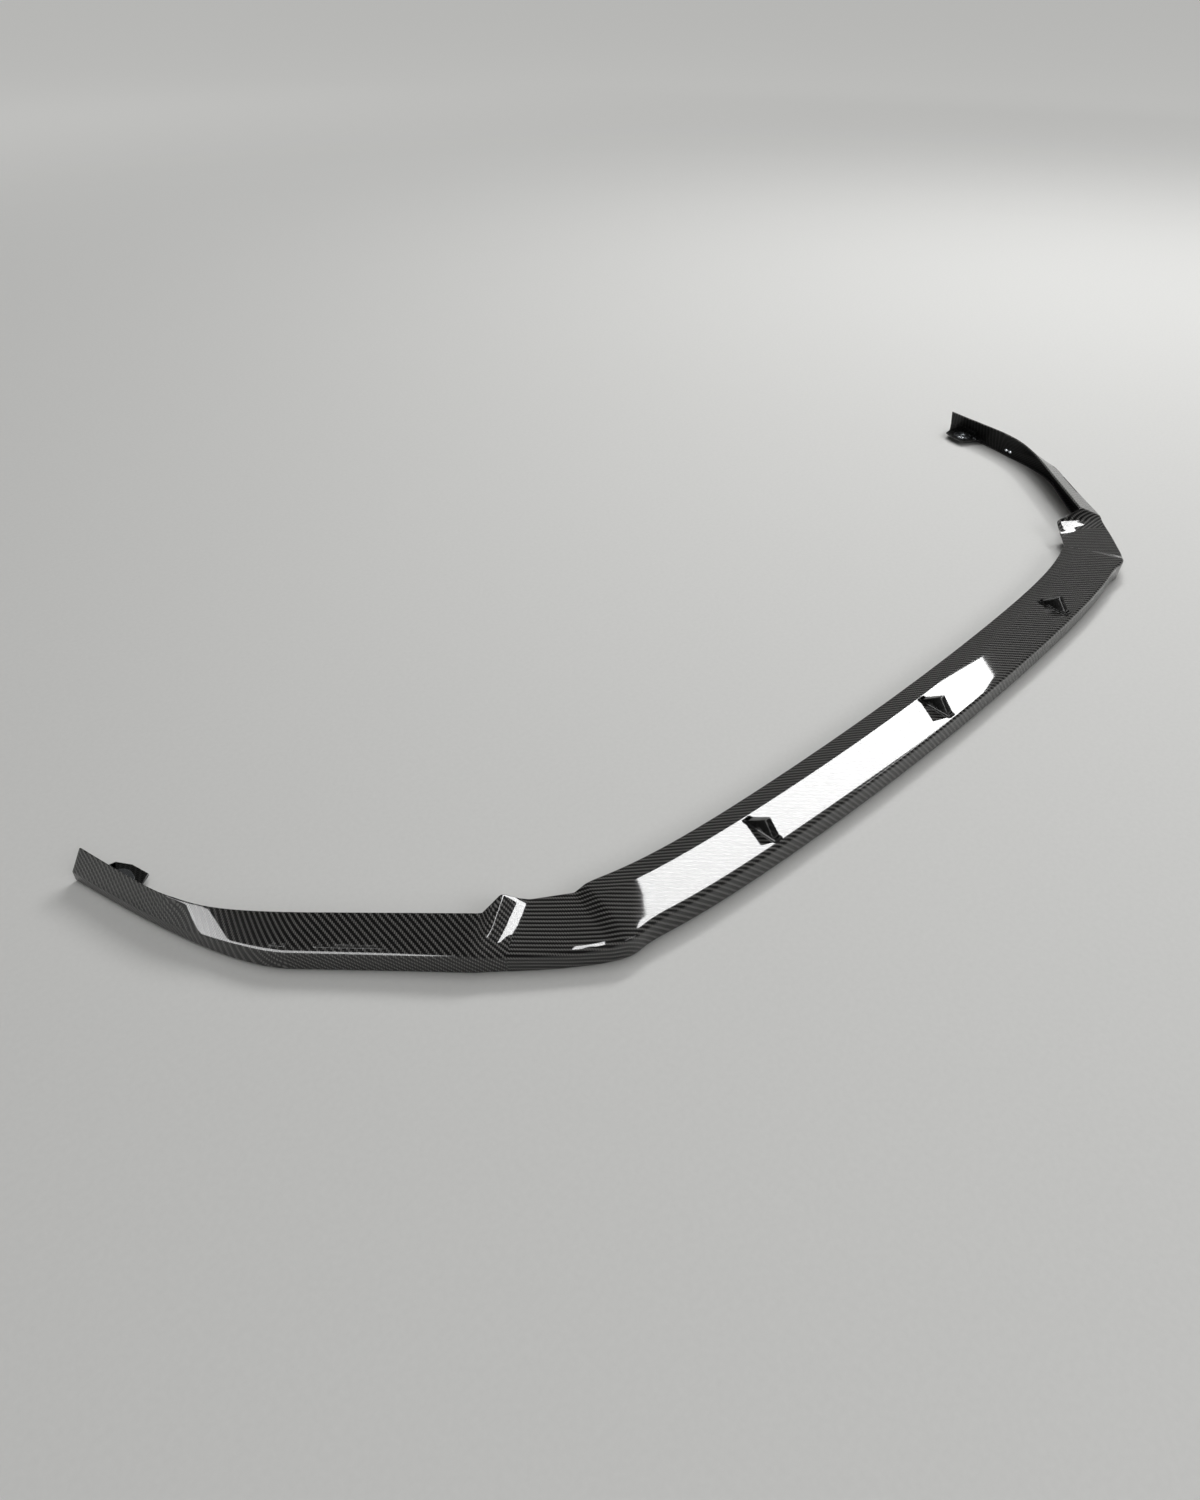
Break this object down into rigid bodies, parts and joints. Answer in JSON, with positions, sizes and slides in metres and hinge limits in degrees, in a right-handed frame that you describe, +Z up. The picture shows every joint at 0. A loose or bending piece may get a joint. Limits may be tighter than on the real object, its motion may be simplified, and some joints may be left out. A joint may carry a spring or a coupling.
{
  "type": "front splitter lip",
  "caption": "Slim curved front splitter lip with swept-back side arms, small fins on the blade and drilled end brackets.",
  "frame": {"origin": "on the floor the lip rests on, on the car's centre line, halfway between the front edge and the arm tips", "axes": "+X across the car, +Y towards the rear of the car, +Z up"},
  "size_m": [1.822, 0.5472, 0.0544],
  "materials": {
    "carbon": "woven carbon laminate in a 2 by 2 twill under a high-gloss clear coat",
    "steel": "bright zinc-plated"
  },
  "bodies": {
    "root": {"lip_shell": "carbon", "fin_left": "carbon", "fin_centre": "carbon", "fin_right": "carbon", "bracket_left": "carbon", "bracket_right": "carbon", "eyelet_left": "steel", "eyelet_right": "steel", "bracket_rivets": "steel", "liner_studs": "steel"}
  },
  "joints": []
}
